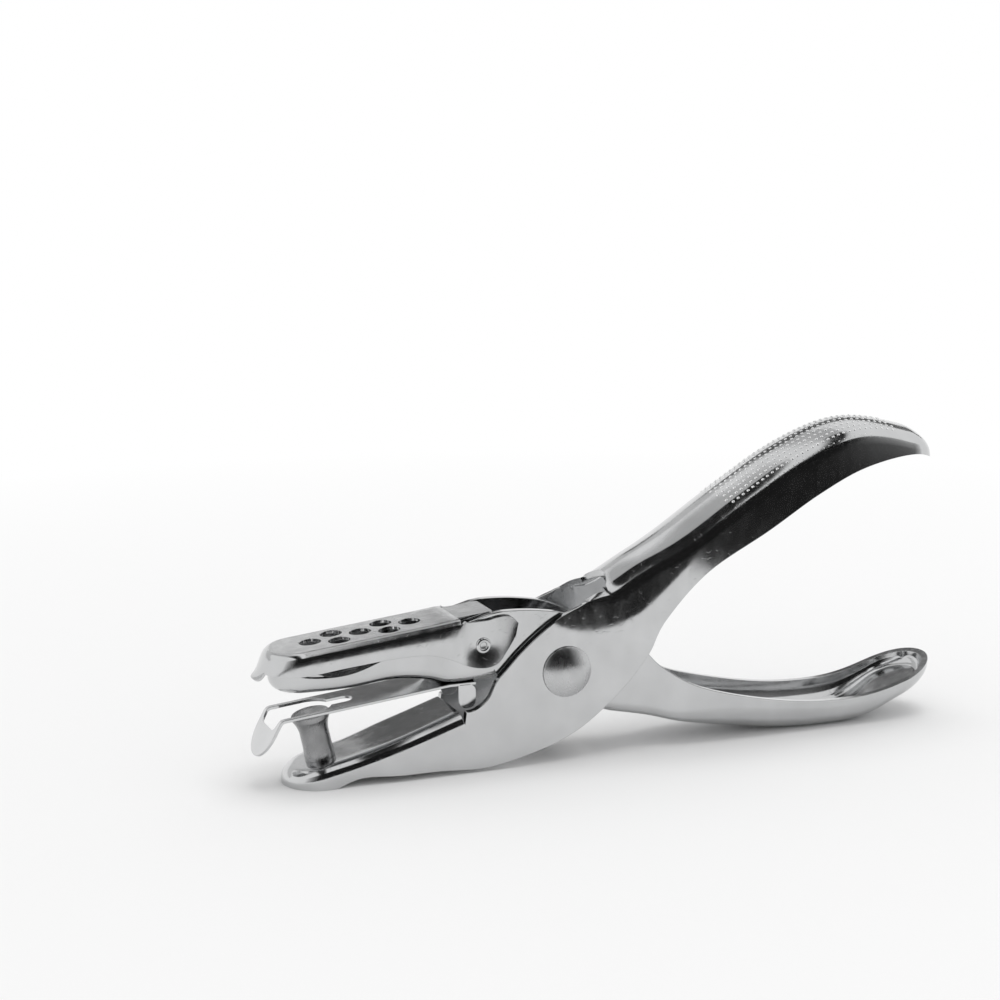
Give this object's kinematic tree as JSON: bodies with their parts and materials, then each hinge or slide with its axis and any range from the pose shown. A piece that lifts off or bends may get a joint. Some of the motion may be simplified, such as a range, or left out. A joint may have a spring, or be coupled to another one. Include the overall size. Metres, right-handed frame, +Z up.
{
  "type": "single hole punch",
  "caption": "Hand-held plier punch of chromed pressed steel: squeezing its two riveted levers drives a pin through a die to punch paper, and a hinged cover keeps the chips.",
  "frame": {"origin": "middle of the bottom of the whole tool's box, on the surface that the tool stands on", "axes": "+X along the tool from the jaws to the handles, +Y along the rivet, +Z up"},
  "size_m": [0.1285, 0.0166, 0.0554],
  "materials": {
    "chromed_sheet": "polished",
    "cover_sheet": "polished",
    "chromed_rivet": "polished",
    "spring_strip": "satin",
    "pin_steel": "turned",
    "spring_wire": "drawn wire"
  },
  "bodies": {
    "lower_jaw_lever": {"punch_lever": "chromed_sheet", "punch_pin": "pin_steel", "pivot_rivet": "chromed_rivet", "return_spring": "spring_wire"},
    "upper_jaw_lever": {"die_lever": "chromed_sheet", "stripper_plate": "spring_strip", "stripper_rivet": "pin_steel"},
    "cover": {"chip_cover": "cover_sheet"}
  },
  "joints": [
    {"name": "lever_pivot", "type": "hinge", "parent": "lower_jaw_lever", "child": "upper_jaw_lever", "pos_m": [-0.01073, 0, 0.016], "axis": [0, -1, 0], "range_deg": [0, 8.8], "stiffness_Nm_per_rad": 1.4, "springref_deg": -17.19, "deforming": ["return_spring"]},
    {"name": "cover_hinge", "type": "hinge", "parent": "upper_jaw_lever", "child": "cover", "pos_m": [-0.02573, 0, 0.0219], "axis": [0, 1, 0], "range_deg": [0, 20]}
  ]
}
